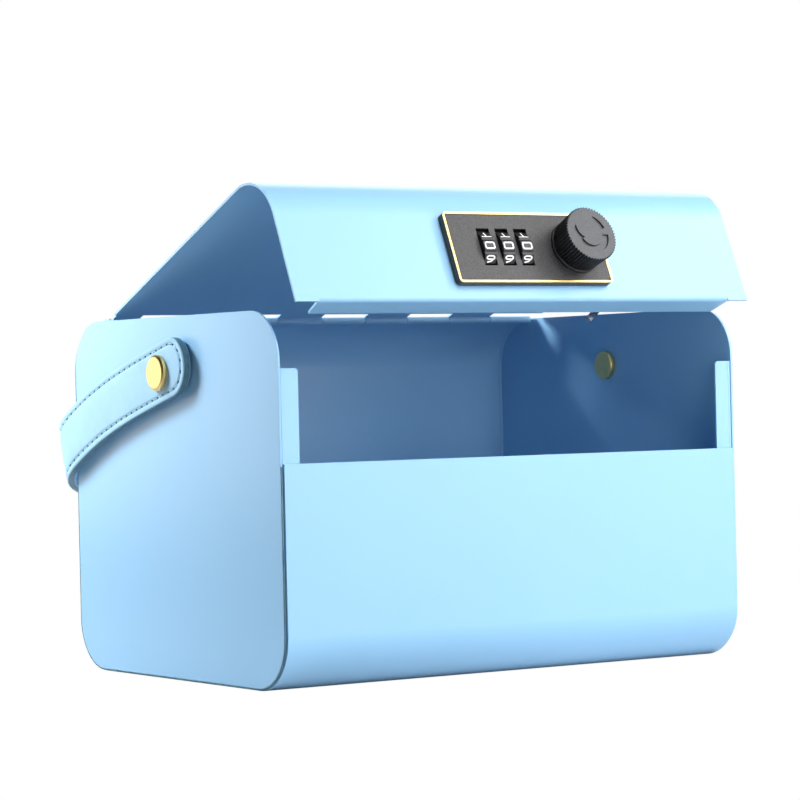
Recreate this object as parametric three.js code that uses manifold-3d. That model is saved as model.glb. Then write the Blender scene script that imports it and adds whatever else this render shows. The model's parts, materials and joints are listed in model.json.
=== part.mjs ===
// A lockable medication box of folded sheet metal: a case with an open front window, a hinged
// lid whose front flap carries a three-dial lock, and a leather strap handle on two pivots.
// Lengths are millimetres. X runs along the box, the front faces -Y and Z is up. The origin is
// the middle of the base. The lid stands part open, as it is found in use.
import * as THREE from "three";
import { mergeVertices } from "three/addons/utils/BufferGeometryUtils.js";
import Module from "manifold-3d";

const wasm = await Module();
wasm.setup();

// Overall sizes of the case
const caseLength = 240;
const caseDepth = 182.6;
const caseHeight = 158.5;
const cornerRadius = 23;
const panelInset = 1;
const sheet = 1;
const clearance = 0.3;
const runningGap = 0.1;
const overrun = 2;

// Lower front panel, whose top edge is folded back on itself
const frontBelowTop = 63.9;
const hemHeight = 8;

// End frames, which carry the posts beside the window
const postBelowTop = 24.5;
const postWidth = 8.3;
const postBendRadius = 1.4;
const postCornerRadius = 1.8;
const frameWebWidth = 10;
const rearFlangeTop = 80;

// Hinge along the top of the case
const hingeAheadOfBack = 30.3;
const barrelRadius = 1.7;
const pinRadius = 0.65;
const hingeEndGap = 2.7;
const knucklePitch = 24.25;
const leafThickness = 0.8;
const lidLeafWidth = 14;
const caseLeafWidth = 7;
const caseLeafToAxis = 2.8;
const lidLeafToAxis = 5.3;
const caseSheetToAxis = 3;
const lidSheetToAxis = 8;
const lidOpenAngle = THREE.MathUtils.degToRad(23.5);

// Lid flap and the flange along its lower edge
const shutGap = 0.6;
const flangeDepth = 12;
const flangeInset = 11;
const flangeBendRadius = 1.8;
const flangeTaper = 1.5;

// Lock body on the flap
const lockLength = 81;
const lockHeight = 33.4;
const lockThickness = 4;
const lockCornerRadius = 2;
const lockRightOfMiddle = 2.6;
const lockAboveFlapEdge = 23.5;
const borderWidth = 1.1;
const borderDepth = 0.7;

// Dials and the chamber behind the flap that holds them
const dialCount = 3;
const digitCount = 10;
const dialPitch = 9.75;
const dialsLeftOfMiddle = 9.75;
const windowWidth = 6.7;
const windowHeight = 17.6;
const windowSkin = 1.2;
const dialRadius = 9.7;
const dialProud = 2.7;
const dialNotch = 0.5;
const dialRestTurn = THREE.MathUtils.degToRad(3);
const dialGrooveShare = 0.16;
const hubRadius = 4;
const axleRadius = 2;
const chamberWall = 1.4;
const chamberDepth = 13;
const springRoom = 1.9;
const springThickness = 0.4;
const springBaseWidth = 4;
const springFingerWidth = 3;
const coverThickness = 1.2;
const screwHeadRadius = 1.9;
const screwHeadHeight = 1.1;
const screwShankRadius = 0.8;
const screwLength = 5;
const screwBossRadius = 2.4;

// Knob, its spindle and the hook that it turns
const knobRightOfMiddle = 27;
const knobRadius = 12.1;
const knobHeight = 12.3;
const knobTeeth = 60;
const toothDepth = 0.5;
const skirtRadius = 12.5;
const skirtHeight = 1.6;
const faceBevel = 0.6;
const spindleRadius = 3;
const spindleDepthInKnob = 9;
const sleeveRadius = 6.5;
const sleeveLength = 9;
const nutAcrossCorners = 19;
const nutThickness = 3;
const hookThickness = 2;
const hookClawWidth = 2.8;
const hookPlay = 1.1;
const hookHubRadius = 7;
const hookArmWidth = 8;
const hookTipAngle = THREE.MathUtils.degToRad(28);
const hookSweep = THREE.MathUtils.degToRad(100);
const camScrewRadius = 1.5;
const camScrewLength = 6;
const camScrewHeadRadius = 4.5;
const camScrewHeadHeight = 2.2;

// Keeper behind the lower front panel
const keeperThickness = 1.2;
const keeperTabWidth = 6;
const keeperTabOffset = 0.5;
const keeperLegWidth = 20;
const keeperLegHeight = 24;
const keeperReach = 18;
const keeperBelowEdge = 0.2;

// Handle pivots
const pivotBehindMiddle = 2;
const pivotBelowTop = 24.5;
const rivetHeadRadius = 7.8;
const rivetHeadHeight = 2.5;
const rivetBevel = 0.8;
const rivetShankRadius = 2.5;
const washerRadius = 9;
const washerThickness = 0.5;
const pivotNutRadius = 6.6;
const pivotNutHeight = 3;
const pivotNutBevel = 0.8;
const pivotNutFloor = 1;

// Leather strap
const strapWidth = 25.5;
const strapThickness = 3.7;
const strapArmPastBack = 1.2;
const strapTail = 22;
const strapBendRadius = 28.8;
const strapEdgeRound = 0.8;
const strapTipRadius = 12.5;
const strapSlopeAtPivot = THREE.MathUtils.degToRad(14);
const strapSlopeAtBend = THREE.MathUtils.degToRad(28.7);
const strapTiltAtPivot = THREE.MathUtils.degToRad(12.4);
const strapTiltAtBend = THREE.MathUtils.degToRad(15.9);

// How finely curves are cut into flats
const bendSteps = 16;
const smallBendSteps = 3;
const roundSides = 40;
const smallRoundSides = 16;
const strapArmSteps = 14;
const strapBendSteps = 9;
const strapTipSteps = 5;
const hookSteps = 20;
const mergeDistance = 1e-4;

// Places that follow from the sizes
const halfLength = caseLength / 2;
const halfDepth = caseDepth / 2;
const sheetHalfLength = halfLength - sheet - clearance;
const frontHeight = caseHeight - frontBelowTop;
const postTop = caseHeight - postBelowTop;
const pivotHeight = caseHeight - pivotBelowTop;
const hingeBehindMiddle = halfDepth - hingeAheadOfBack;
const hingeHeight = caseHeight + clearance + leafThickness - barrelRadius;
const hingeLength = 2 * (sheetHalfLength - hingeEndGap);
const flapBottom = frontHeight + shutGap;
const lockAboveBase = flapBottom + lockAboveFlapEdge;
const lockFront = -halfDepth - lockThickness;
const lockBack = -halfDepth - clearance;
const dialsX = -dialsLeftOfMiddle;
const dialY = lockFront - dialProud + dialRadius;
const dialWidth = windowWidth - 2 * clearance;
const chamberHalfLength = dialPitch * (dialCount / 2) + clearance + chamberWall;
const chamberHalfHeight = dialRadius + 2 * clearance;
const chamberBack = -halfDepth + chamberDepth;
const hookFront = chamberBack + coverThickness + screwHeadHeight + 2 * clearance;
const hookBack = hookFront + hookThickness;
const keeperUnderside = frontHeight - keeperBelowEdge - keeperThickness;
const hookInnerRadius = lockAboveBase - keeperUnderside + hookPlay;
const hookOuterRadius = hookInnerRadius + hookClawWidth;
const strapArm = halfDepth + strapArmPastBack;

const materials = {
  paint: new THREE.MeshStandardMaterial({ color: 0xa9d8f2, roughness: 0.45, metalness: 0.1 }),
  leather: new THREE.MeshStandardMaterial({ color: 0xb4e0ee, roughness: 0.6, metalness: 0 }),
  gold: new THREE.MeshStandardMaterial({ color: 0xd9a93e, roughness: 0.25, metalness: 1 }),
  black: new THREE.MeshStandardMaterial({ color: 0x2b2b2e, roughness: 0.55, metalness: 0.1 }),
  steel: new THREE.MeshStandardMaterial({ color: 0xb9bcc0, roughness: 0.35, metalness: 1 }),
};

// Solids from geometry, and back again
function solid(geometry) {
  const bare = geometry.index ? geometry.toNonIndexed() : geometry.clone();
  bare.deleteAttribute("normal");
  bare.deleteAttribute("uv");
  const merged = mergeVertices(bare, mergeDistance);
  return new wasm.Manifold(new wasm.Mesh({
    numProp: 3,
    vertProperties: Float32Array.from(merged.attributes.position.array),
    triVerts: Uint32Array.from(merged.index.array),
  }));
}

function joined(solids) {
  return solids.reduce((whole, next) => whole.add(next));
}

function piece(name, body, material) {
  const { vertProperties, triVerts } = body.getMesh();
  const geometry = new THREE.BufferGeometry();
  geometry.setAttribute("position", new THREE.BufferAttribute(vertProperties, 3));
  geometry.setIndex(new THREE.BufferAttribute(triVerts, 1));
  geometry.computeVertexNormals();
  const mesh = new THREE.Mesh(geometry, material);
  mesh.name = name;
  return mesh;
}

// Straight solids of an outline drawn across the axis that they run along
function alongX(shape, from, to) {
  const geometry = new THREE.ExtrudeGeometry(shape, { depth: to - from, bevelEnabled: false });
  const turned = new THREE.Matrix4().makeBasis(
    new THREE.Vector3(0, 1, 0), new THREE.Vector3(0, 0, 1), new THREE.Vector3(1, 0, 0));
  return solid(geometry.applyMatrix4(turned).translate(from, 0, 0));
}

function alongY(shape, from, to) {
  const geometry = new THREE.ExtrudeGeometry(shape, { depth: to - from, bevelEnabled: false });
  return solid(geometry.rotateX(Math.PI / 2).translate(0, to, 0));
}

function alongZ(shape, from, to) {
  const geometry = new THREE.ExtrudeGeometry(shape, { depth: to - from, bevelEnabled: false });
  return solid(geometry.translate(0, 0, from));
}

function box(low, high) {
  const size = high.map((value, axis) => value - low[axis]);
  const middle = high.map((value, axis) => (value + low[axis]) / 2);
  return solid(new THREE.BoxGeometry(...size).translate(...middle));
}

function rodAlongX(radius, from, to, y, z, sides = roundSides) {
  const geometry = new THREE.CylinderGeometry(radius, radius, to - from, sides);
  return solid(geometry.rotateZ(Math.PI / 2).translate((from + to) / 2, y, z));
}

function rodAlongY(radius, from, to, x, z, sides = roundSides) {
  const geometry = new THREE.CylinderGeometry(radius, radius, to - from, sides);
  return solid(geometry.translate(x, (from + to) / 2, z));
}

// A turned solid about an axis through the place along X; the profile lists [along, radius]
function turnedAlongX(profile, side, y, z) {
  const points = profile.map(([along, radius]) => new THREE.Vector2(radius, along));
  const geometry = new THREE.LatheGeometry(points, roundSides);
  const turned = new THREE.Matrix4().makeBasis(
    new THREE.Vector3(0, 0, side), new THREE.Vector3(side, 0, 0), new THREE.Vector3(0, 1, 0));
  return outward(geometry.applyMatrix4(turned).translate(0, y, z));
}

// A lathe may come out inside out, and then its triangles are turned over
function outward(geometry) {
  const body = solid(geometry);
  if (body.volume() > 0) {
    return body;
  }
  const order = Array.from(geometry.index.array);
  for (let corner = 0; corner < order.length; corner += 3) {
    [order[corner], order[corner + 1]] = [order[corner + 1], order[corner]];
  }
  geometry.setIndex(order);
  return solid(geometry);
}

// Outlines
function shapeOf(points) {
  return new THREE.Shape(points.map(([across, up]) => new THREE.Vector2(across, up)));
}

function rectangle(low, high) {
  return shapeOf([low, [high[0], low[1]], high, [low[0], high[1]]]);
}

// Points of a run whose inner corners are rounded; a corner is [across, up, radius]
function roundedRun(corners, steps) {
  const run = [];
  corners.forEach((corner, index) => {
    const here = new THREE.Vector2(corner[0], corner[1]);
    if (index === 0 || index === corners.length - 1 || corner[2] <= 0) {
      run.push([here.x, here.y]);
      return;
    }
    const into = new THREE.Vector2(...corners[index - 1]).sub(here).normalize();
    const out = new THREE.Vector2(...corners[index + 1]).sub(here).normalize();
    const half = Math.acos(THREE.MathUtils.clamp(into.dot(out), -1, 1)) / 2;
    const middle = into.clone().add(out).normalize();
    const centre = here.clone().addScaledVector(middle, corner[2] / Math.sin(half));
    const first = here.clone().addScaledVector(into, corner[2] / Math.tan(half)).sub(centre);
    const turn = Math.sign(out.cross(into)) * (Math.PI - 2 * half);
    for (let step = 0; step <= steps; step += 1) {
      const spoke = first.clone().rotateAround(new THREE.Vector2(), turn * (step / steps));
      run.push([centre.x + spoke.x, centre.y + spoke.y]);
    }
  });
  return run;
}

// The same corners moved sideways to the left of the run by a distance
function movedLeft(corners, distance) {
  const lines = corners.slice(1).map((corner, index) => {
    const from = new THREE.Vector2(...corners[index]);
    const along = new THREE.Vector2(...corner).sub(from).normalize();
    const left = new THREE.Vector2(-along.y, along.x);
    return { along, left, from: from.addScaledVector(left, distance) };
  });
  return corners.map((corner, index) => {
    if (index === 0) {
      return [lines[0].from.x, lines[0].from.y, 0];
    }
    const before = lines[index - 1];
    if (index === corners.length - 1) {
      return [corner[0] + before.left.x * distance, corner[1] + before.left.y * distance, 0];
    }
    const after = lines[index];
    const turn = before.along.cross(after.along);
    const reach = after.from.clone().sub(before.from).cross(after.along) / turn;
    const meet = before.from.clone().addScaledVector(before.along, reach);
    return [meet.x, meet.y, corner[2] - Math.sign(turn) * distance];
  });
}

// The section of a folded sheet whose outer face follows the corners
function foldedSheet(corners, thickness, steps = bendSteps) {
  const outer = roundedRun(corners, steps);
  const inner = roundedRun(movedLeft(corners, thickness), steps);
  return shapeOf([...outer, ...inner.reverse()]);
}

function roundedRectangle(low, high, radius, steps = bendSteps) {
  const middle = (low[0] + high[0]) / 2;
  return shapeOf(roundedRun([
    [middle, low[1], 0], [high[0], low[1], radius], [high[0], high[1], radius],
    [low[0], high[1], radius], [low[0], low[1], radius], [middle, low[1], 0],
  ], steps).slice(1));
}

// The sheet that is folded round the base: front panel, base, back and the strip above it
function caseWrap() {
  const section = foldedSheet([
    [hingeBehindMiddle + caseSheetToAxis, caseHeight, 0],
    [halfDepth, caseHeight, cornerRadius],
    [halfDepth, 0, cornerRadius],
    [-halfDepth, 0, cornerRadius],
    [-halfDepth, frontHeight, 0],
  ].reverse(), sheet);
  const hemHalf = sheetHalfLength - postWidth - clearance;
  const hem = box(
    [-hemHalf, -halfDepth + sheet / 2, frontHeight - hemHeight],
    [hemHalf, -halfDepth + 2 * sheet, frontHeight]);
  return alongX(section, -sheetHalfLength, sheetHalfLength).add(hem);
}

// A side panel stands a little inside the outline of the wrap, except along its top
function sidePanel(side) {
  const edge = halfDepth - panelInset;
  const outline = roundedRectangle(
    [-edge, panelInset], [edge, caseHeight], cornerRadius - panelInset);
  const outer = side * halfLength;
  const inner = side * (halfLength - sheet);
  const plate = alongX(outline, Math.min(outer, inner), Math.max(outer, inner));
  return plate.subtract(pivotHole());
}

function pivotHole() {
  const radius = rivetShankRadius + runningGap;
  const reach = halfLength + overrun;
  return rodAlongX(radius, -reach, reach, pivotBehindMiddle, pivotHeight, smallRoundSides);
}

// A folded frame inside each end: a web against the side panel, flanges along the base and
// the back, and at the front the post beside the window
function endFrame(side) {
  const inset = sheet + clearance;
  const edge = halfDepth - inset;
  const radius = cornerRadius - inset;
  const webOuter = side * sheetHalfLength;
  const webInner = side * (sheetHalfLength - sheet);
  const run = [
    [-edge, postTop, 0], [-edge, inset, radius], [edge, inset, radius], [edge, rearFlangeTop, 0],
  ];
  const web = alongX(
    foldedSheet(run, frameWebWidth), Math.min(webOuter, webInner), Math.max(webOuter, webInner));
  const flangeEnd = side * (sheetHalfLength - postWidth);
  const across = [Math.min(webOuter, flangeEnd), Math.max(webOuter, flangeEnd)];
  const baseFlange = box(
    [across[0], -halfDepth + cornerRadius, inset],
    [across[1], halfDepth - cornerRadius, inset + sheet]);
  const backFlange = box(
    [across[0], edge - sheet, cornerRadius], [across[1], edge, rearFlangeTop]);
  const corners = [
    [webOuter, -edge + frameWebWidth, 0],
    [webOuter, -edge, postBendRadius],
    [flangeEnd, -edge, 0],
  ];
  const section = foldedSheet(side > 0 ? corners.reverse() : corners, sheet, smallBendSteps);
  const post = alongZ(section, cornerRadius, postTop).subtract(postCornerCut(side));
  return joined([web, baseFlange, backFlange, post]);
}

// The rounded upper corner of a post on its window side
function postCornerCut(side) {
  const end = side * (sheetHalfLength - postWidth);
  const centre = end + side * postCornerRadius;
  const low = [Math.min(end - side * overrun, centre), postTop - postCornerRadius];
  const high = [Math.max(end - side * overrun, centre), postTop + overrun];
  const behind = -halfDepth + frameWebWidth;
  const round = rodAlongY(
    postCornerRadius, -halfDepth - overrun, behind + overrun, centre, postTop - postCornerRadius);
  return alongY(rectangle(low, high), -halfDepth, behind).subtract(round);
}

// A catch behind the top edge of the front panel: the hook turns in under its tab
function lockKeeper() {
  const top = frontHeight - keeperBelowEdge;
  const front = -halfDepth + 2 * sheet + clearance;
  const right = knobRightOfMiddle - keeperTabOffset;
  const leg = box(
    [right - keeperLegWidth, front, top - keeperLegHeight],
    [right, front + keeperThickness, top]);
  const tab = box(
    [right - keeperTabWidth, front, top - keeperThickness],
    [right, -halfDepth + keeperReach, top]);
  return leg.add(tab);
}

// The hinge: knuckles in turn on the case leaf and on the lid leaf, from the right end
function knuckleSpans() {
  const spans = [];
  const left = -hingeLength / 2;
  for (let right = hingeLength / 2; right > left + clearance; right -= knucklePitch) {
    spans.push([Math.max(right - knucklePitch, left) + clearance / 2, right - clearance / 2]);
  }
  return spans;
}

function hingeLeaf(side, leafToAxis, width, firstKnuckle) {
  const top = hingeHeight + barrelRadius;
  const near = hingeBehindMiddle + side * leafToAxis;
  const far = hingeBehindMiddle + side * width;
  const plate = box(
    [-hingeLength / 2, Math.min(near, far), top - leafThickness],
    [hingeLength / 2, Math.max(near, far), top]);
  const parts = [plate];
  knuckleSpans().forEach(([from, to], index) => {
    if (index % 2 !== firstKnuckle) {
      return;
    }
    const axis = hingeBehindMiddle;
    const tabEnd = near + side * leafThickness;
    parts.push(rodAlongX(barrelRadius, from, to, axis, hingeHeight, smallRoundSides));
    parts.push(box(
      [from, Math.min(axis, tabEnd), top - leafThickness], [to, Math.max(axis, tabEnd), top]));
  });
  const bore = rodAlongX(
    pinRadius + runningGap, -hingeLength, hingeLength, hingeBehindMiddle, hingeHeight, smallRoundSides);
  return joined(parts).subtract(bore);
}

function hingePin() {
  return rodAlongX(
    pinRadius, -hingeLength / 2, hingeLength / 2, hingeBehindMiddle, hingeHeight, smallRoundSides);
}

// The lid sheet: top, front bend and flap, with a flange along the middle of its lower edge
function lidShell() {
  const back = [hingeBehindMiddle - lidSheetToAxis, caseHeight, 0];
  const front = [-halfDepth, caseHeight, cornerRadius];
  const flangeHalf = sheetHalfLength - flangeInset;
  const plain = foldedSheet([back, front, [-halfDepth, flapBottom, 0]], sheet);
  const flanged = foldedSheet([
    back, front,
    [-halfDepth, flapBottom, flangeBendRadius],
    [-halfDepth + flangeDepth, flapBottom, 0],
  ], sheet);
  const ends = [-1, 1].map((side) => {
    const spans = [side * sheetHalfLength, side * flangeHalf].sort((a, b) => a - b);
    return alongX(plain, ...spans);
  });
  const middle = alongX(flanged, -flangeHalf, flangeHalf);
  const cuts = [...flangeEndCuts(flangeHalf), dialOpening(), sleeveOpening()];
  return joined([...ends, middle]).subtract(joined(cuts));
}

function flangeEndCuts(flangeHalf) {
  const bend = -halfDepth + flangeBendRadius;
  const rear = -halfDepth + flangeDepth;
  return [-1, 1].map((side) => alongZ(shapeOf([
    [side * flangeHalf, bend],
    [side * (flangeHalf - flangeTaper), rear],
    [side * (flangeHalf - flangeTaper), rear + overrun],
    [side * (flangeHalf + overrun), rear + overrun],
    [side * (flangeHalf + overrun), bend],
  ]), flapBottom - overrun, flapBottom + flangeBendRadius + sheet));
}

// Openings in the flap behind the lock
function dialOpening() {
  const halfWidth = chamberHalfLength + clearance;
  const low = [dialsX - halfWidth, lockAboveBase - chamberHalfHeight - springRoom
    - chamberWall - clearance];
  const high = [dialsX + halfWidth, lockAboveBase + chamberHalfHeight + chamberWall + clearance];
  return alongY(rectangle(low, high), -halfDepth - overrun, -halfDepth + sheet + overrun);
}

function sleeveOpening() {
  return rodAlongY(
    sleeveRadius + clearance, -halfDepth - overrun, -halfDepth + sheet + overrun,
    knobRightOfMiddle, lockAboveBase);
}

// Lock body: a plate on the flap with three windows, the dial chamber behind it and the
// threaded sleeve that the spindle turns in
function lockBody() {
  const low = [lockRightOfMiddle - lockLength / 2, lockAboveBase - lockHeight / 2];
  const high = [lockRightOfMiddle + lockLength / 2, lockAboveBase + lockHeight / 2];
  const inset = borderWidth + clearance;
  const plate = alongY(
    roundedRectangle(low, high, lockCornerRadius, smallBendSteps), lockFront + borderDepth, lockBack);
  const face = alongY(
    rectangle(low.map((value) => value + inset), high.map((value) => value - inset)),
    lockFront, lockFront + borderDepth + overrun);
  const sleeve = rodAlongY(
    sleeveRadius, lockFront + lockThickness / 2, lockBack + sleeveLength,
    knobRightOfMiddle, lockAboveBase);
  const bore = rodAlongY(
    spindleRadius + runningGap, lockFront - overrun, lockBack + sleeveLength + overrun,
    knobRightOfMiddle, lockAboveBase, smallRoundSides);
  const pocket = alongY(rectangle(...chamberRoom()), lockFront + windowSkin, lockBack + overrun);
  return joined([plate, face, sleeve]).subtract(pocket).add(dialChamber())
    .subtract(joined([bore, ...dialWindows()]));
}

// The room inside the chamber, as the low and high corners of its section
function chamberRoom() {
  return [
    [dialsX - chamberHalfLength + chamberWall, lockAboveBase - chamberHalfHeight - springRoom],
    [dialsX + chamberHalfLength - chamberWall, lockAboveBase + chamberHalfHeight],
  ];
}

// The chamber is a sleeve of four walls, open at the back; its ends hold the axle, and two
// posts at its ends take the screws of the cover
function dialChamber() {
  const low = [dialsX - chamberHalfLength, lockAboveBase - chamberHalfHeight - springRoom
    - chamberWall];
  const high = [dialsX + chamberHalfLength, lockAboveBase + chamberHalfHeight + chamberWall];
  const outer = alongY(rectangle(low, high), lockBack - chamberWall, chamberBack);
  const inner = alongY(
    rectangle(...chamberRoom()), lockBack - chamberWall - overrun, chamberBack + overrun);
  const axleHole = rodAlongX(
    axleRadius + clearance, low[0] - overrun, high[0] + overrun, dialY, lockAboveBase,
    smallRoundSides);
  const bosses = screwPlaces().map(([x, z]) => rodAlongY(
    screwBossRadius, lockBack + sheet + 2 * clearance, chamberBack, x, z, smallRoundSides));
  const holes = screwPlaces().map(([x, z]) => rodAlongY(
    screwShankRadius + clearance, chamberBack - screwLength - clearance, chamberBack + overrun,
    x, z, smallRoundSides));
  return joined([outer.subtract(inner), ...bosses]).subtract(joined([axleHole, ...holes]));
}

function screwPlaces() {
  const reach = chamberHalfLength + screwBossRadius - chamberWall / 2;
  return [[dialsX - reach, lockAboveBase], [dialsX + reach, lockAboveBase]];
}

function dialCentres() {
  return Array.from({ length: dialCount }, (_, index) =>
    dialsX + (index - (dialCount - 1) / 2) * dialPitch);
}

function dialWindows() {
  return dialCentres().map((x) => alongY(
    rectangle(
      [x - windowWidth / 2, lockAboveBase - windowHeight / 2],
      [x + windowWidth / 2, lockAboveBase + windowHeight / 2]),
    lockFront - overrun, lockBack + overrun));
}

function lockBorder() {
  const low = [lockRightOfMiddle - lockLength / 2, lockAboveBase - lockHeight / 2];
  const high = [lockRightOfMiddle + lockLength / 2, lockAboveBase + lockHeight / 2];
  const back = lockFront + borderDepth - clearance;
  const outer = alongY(
    roundedRectangle(low, high, lockCornerRadius, smallBendSteps), lockFront, back);
  const inner = alongY(
    rectangle(low.map((value) => value + borderWidth), high.map((value) => value - borderWidth)),
    lockFront - overrun, back + overrun);
  return outer.subtract(inner);
}

function rearCover() {
  const low = [dialsX - chamberHalfLength, lockAboveBase - chamberHalfHeight - springRoom
    - chamberWall];
  const high = [dialsX + chamberHalfLength, lockAboveBase + chamberHalfHeight + chamberWall];
  const from = chamberBack + clearance;
  const to = from + coverThickness;
  const ears = screwPlaces().map(([x, z]) => rodAlongY(
    screwBossRadius, from, to, x, z, smallRoundSides));
  const holes = screwPlaces().map(([x, z]) => rodAlongY(
    screwShankRadius + clearance, from - overrun, to + overrun, x, z, smallRoundSides));
  return joined([alongY(rectangle(low, high), from, to), ...ears]).subtract(joined(holes));
}

function coverScrew([x, z]) {
  const seat = chamberBack + coverThickness + 2 * clearance;
  const head = rodAlongY(screwHeadRadius, seat, seat + screwHeadHeight, x, z, smallRoundSides);
  const shank = rodAlongY(
    screwShankRadius, chamberBack - screwLength, seat + screwHeadHeight / 2, x, z, smallRoundSides);
  return head.add(shank);
}

// A dial: ten flats with a groove between neighbours, and a hub that spaces it. It rests turned
// a little, so that its flat is not quite in line with the face of the lock.
function dialWheel(x) {
  const outline = [];
  for (let digit = 0; digit < digitCount; digit += 1) {
    const turn = (2 * Math.PI) / digitCount;
    const corner = (digit + 0.5) * turn + dialRestTurn;
    [-dialGrooveShare, 0, dialGrooveShare].forEach((share) => {
      const radius = share === 0 ? dialRadius - dialNotch : dialRadius;
      const angle = corner + share * turn;
      outline.push([dialY + radius * Math.cos(angle), lockAboveBase + radius * Math.sin(angle)]);
    });
  }
  const rim = alongX(shapeOf(outline), x - dialWidth / 2, x + dialWidth / 2);
  const hubHalf = (dialPitch - clearance) / 2;
  const hub = rodAlongX(hubRadius, x - hubHalf, x + hubHalf, dialY, lockAboveBase, smallRoundSides);
  const bore = rodAlongX(
    axleRadius + runningGap, x - dialPitch, x + dialPitch, dialY, lockAboveBase, smallRoundSides);
  return rim.add(hub).subtract(bore);
}

function dialAxle() {
  const reach = chamberHalfLength;
  return rodAlongX(
    axleRadius, dialsX - reach, dialsX + reach, dialY, lockAboveBase, smallRoundSides);
}

// A leaf spring on the floor of the chamber: one finger under each dial
function detentSpring() {
  const floor = lockAboveBase - chamberHalfHeight - springRoom + clearance;
  const back = chamberBack - clearance;
  const reach = chamberHalfLength - chamberWall - clearance;
  const base = box(
    [dialsX - reach, back - springBaseWidth, floor], [dialsX + reach, back, floor + springThickness]);
  const tipZ = lockAboveBase - dialRadius - clearance;
  const finger = foldedSheet([
    [back - springBaseWidth / 2, floor, 0],
    [back - springBaseWidth, floor, 0],
    [dialY, tipZ - springThickness, 0],
    [dialY - springBaseWidth / 2, floor, 0],
  ].reverse(), springThickness);
  const fingers = dialCentres().map((x) =>
    alongX(finger, x - springFingerWidth / 2, x + springFingerWidth / 2));
  return joined([base, ...fingers]);
}

function sleeveNut() {
  const from = -halfDepth + sheet + clearance;
  const corners = Array.from({ length: 6 }, (_, index) => {
    const angle = (index * Math.PI) / 3;
    return [
      knobRightOfMiddle + (nutAcrossCorners / 2) * Math.cos(angle),
      lockAboveBase + (nutAcrossCorners / 2) * Math.sin(angle),
    ];
  });
  const hole = rodAlongY(
    sleeveRadius + clearance, from - overrun, from + nutThickness + overrun,
    knobRightOfMiddle, lockAboveBase);
  return alongY(shapeOf(corners), from, from + nutThickness).subtract(hole);
}

// The knob: a toothed grip on a plain skirt, with a raised rim round its face
function lockKnob() {
  const back = lockFront - clearance;
  const face = back - knobHeight;
  const outline = [];
  for (let tooth = 0; tooth < knobTeeth * 2; tooth += 1) {
    const angle = (tooth * Math.PI) / knobTeeth;
    const radius = tooth % 2 === 0 ? knobRadius : knobRadius - toothDepth;
    outline.push([
      knobRightOfMiddle + radius * Math.cos(angle), lockAboveBase + radius * Math.sin(angle)]);
  }
  const grip = alongY(shapeOf(outline), face + faceBevel, back - skirtHeight / 2);
  const skirt = rodAlongY(skirtRadius, back - skirtHeight, back, knobRightOfMiddle, lockAboveBase);
  const top = rodAlongY(
    knobRadius - toothDepth, face, face + 2 * faceBevel, knobRightOfMiddle, lockAboveBase);
  const bore = rodAlongY(
    spindleRadius + clearance, back - spindleDepthInKnob, back + overrun,
    knobRightOfMiddle, lockAboveBase, smallRoundSides);
  return joined([grip, skirt, top]).subtract(bore);
}

function knobSpindle() {
  const from = lockFront - clearance - spindleDepthInKnob + clearance;
  const shaft = rodAlongY(
    spindleRadius, from, hookBack, knobRightOfMiddle, lockAboveBase, smallRoundSides);
  const collar = rodAlongY(
    sleeveRadius - clearance, lockBack + sleeveLength + clearance, hookFront - clearance,
    knobRightOfMiddle, lockAboveBase, smallRoundSides);
  const threadHole = rodAlongY(
    camScrewRadius + clearance, hookBack - camScrewLength - clearance, hookBack + overrun,
    knobRightOfMiddle, lockAboveBase, smallRoundSides);
  return shaft.add(collar).subtract(threadHole);
}

// The hook: a round claw about the spindle, on an arm at its far end
function lockHook() {
  const claw = [];
  for (let step = 0; step <= hookSteps; step += 1) {
    claw.push(hookPoint(hookOuterRadius, hookTipAngle + (hookSweep * step) / hookSteps));
  }
  for (let step = hookSteps; step >= 0; step -= 1) {
    claw.push(hookPoint(hookInnerRadius, hookTipAngle + (hookSweep * step) / hookSteps));
  }
  const armAngle = hookTipAngle + hookSweep - hookArmWidth / 2 / hookInnerRadius;
  const side = new THREE.Vector2(Math.cos(armAngle), Math.sin(armAngle));
  side.multiplyScalar(hookArmWidth / 2);
  const root = [knobRightOfMiddle, lockAboveBase];
  const end = hookPoint((hookInnerRadius + hookOuterRadius) / 2, armAngle);
  const arm = shapeOf([
    [root[0] + side.x, root[1] + side.y], [root[0] - side.x, root[1] - side.y],
    [end[0] - side.x, end[1] - side.y], [end[0] + side.x, end[1] + side.y],
  ]);
  const hub = rodAlongY(hookHubRadius, hookFront, hookBack, ...root);
  const hole = rodAlongY(
    spindleRadius + clearance, hookFront - overrun, hookBack + overrun, ...root, smallRoundSides);
  return joined([
    alongY(shapeOf(claw), hookFront, hookBack), alongY(arm, hookFront, hookBack), hub,
  ]).subtract(hole);
}

// A place on the hook; the angle counts from straight down towards the right
function hookPoint(radius, angle) {
  return [
    knobRightOfMiddle + radius * Math.sin(angle), lockAboveBase - radius * Math.cos(angle)];
}

function camScrew() {
  const seat = hookBack + clearance;
  const head = rodAlongY(
    camScrewHeadRadius, seat, seat + camScrewHeadHeight, knobRightOfMiddle, lockAboveBase);
  const shank = rodAlongY(
    camScrewRadius, hookBack - camScrewLength, seat + camScrewHeadHeight / 2,
    knobRightOfMiddle, lockAboveBase, smallRoundSides);
  return head.add(shank);
}

// Pivots of the handle, mirrored on the two ends: rivet, washer and the nut inside the case
const washerFrom = halfLength + clearance;
const strapFrom = washerFrom + washerThickness + clearance;
const rivetFrom = strapFrom + strapThickness + clearance;
const nutTo = halfLength - sheet - clearance;

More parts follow.
